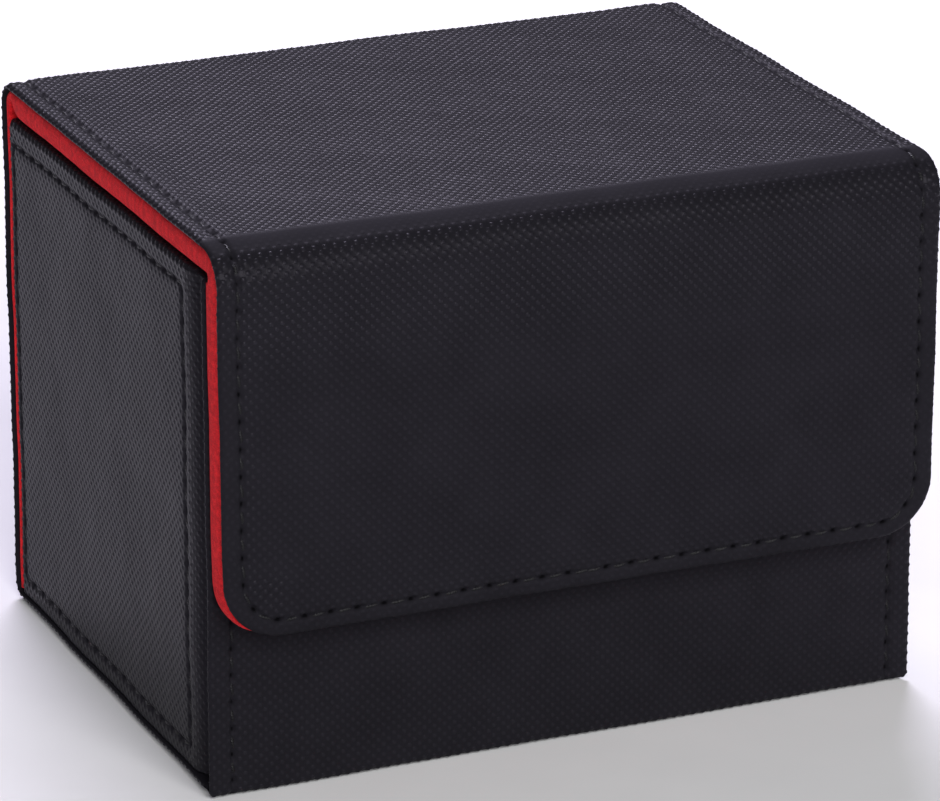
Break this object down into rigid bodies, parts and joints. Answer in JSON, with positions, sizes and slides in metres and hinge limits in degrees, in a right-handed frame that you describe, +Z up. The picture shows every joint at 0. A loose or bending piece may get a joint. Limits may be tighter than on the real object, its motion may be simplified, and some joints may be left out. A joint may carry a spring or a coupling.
{
  "type": "card deck box",
  "caption": "Card deck box: lined greyboard case in stitched black leatherette, with a hinged lid, a magnetic front flap and sliding dividers.",
  "frame": {"origin": "centre of the closed box's footprint, on the surface it stands on", "axes": "+X to the right seen from the flap, +Y to the back, +Z up"},
  "size_m": [0.11, 0.091, 0.0826],
  "materials": {
    "leatherette": "black polyurethane leatherette embossed with a fine staggered canvas grain, satin",
    "microfibre": "red short-pile microfibre suede",
    "greyboard": "plain grey board, hidden inside the covers",
    "thread": "black bonded polyester sewing thread",
    "magnet": "nickel-plated neodymium disc"
  },
  "bodies": {
    "case": {"base_cover": "leatherette", "base_board": "greyboard", "base_lining": "microfibre", "base_left_stitching": "thread", "base_right_stitching": "thread", "front_cover": "leatherette", "front_board": "greyboard", "front_lining": "microfibre", "front_left_stitching": "thread", "front_right_stitching": "thread", "front_left_magnet": "magnet", "front_right_magnet": "magnet", "back_cover": "leatherette", "back_board": "greyboard", "back_lining": "microfibre", "back_left_stitching": "thread", "back_right_stitching": "thread", "left_side_cover": "leatherette", "left_side_board": "greyboard", "left_side_lining": "microfibre", "left_side_stitching": "thread", "right_side_cover": "leatherette", "right_side_board": "greyboard", "right_side_lining": "microfibre", "right_side_stitching": "thread", "rear_hinge_strip": "leatherette", "rear_hinge_lining": "microfibre"},
    "lid": {"lid_cover": "leatherette", "lid_board": "greyboard", "lid_lining": "microfibre", "lid_left_stitching": "thread", "lid_right_stitching": "thread", "front_hinge_strip": "leatherette", "front_hinge_lining": "microfibre"},
    "flap": {"flap_cover": "leatherette", "flap_board": "greyboard", "flap_lining": "microfibre", "flap_stitching": "thread", "flap_left_magnet": "magnet", "flap_right_magnet": "magnet"},
    "front_divider": {"front_divider": "microfibre"},
    "rear_divider": {"rear_divider": "microfibre"}
  },
  "joints": [
    {"name": "lid_hinge", "type": "hinge", "parent": "case", "child": "lid", "pos_m": [0, 0.04417, 0.08127], "axis": [-1, 0, 0], "range_deg": [0, 175]},
    {"name": "flap_hinge", "type": "hinge", "parent": "lid", "child": "flap", "pos_m": [0, -0.04374, 0.08084], "axis": [-1, 0, 0], "range_deg": [0, 120]},
    {"name": "front_divider_slide", "type": "slide", "parent": "case", "child": "front_divider", "axis": [0, 1, 0], "range_m": [-0.0247, 0.0118]},
    {"name": "rear_divider_slide", "type": "slide", "parent": "case", "child": "rear_divider", "axis": [0, 1, 0], "range_m": [-0.0118, 0.0247]}
  ]
}
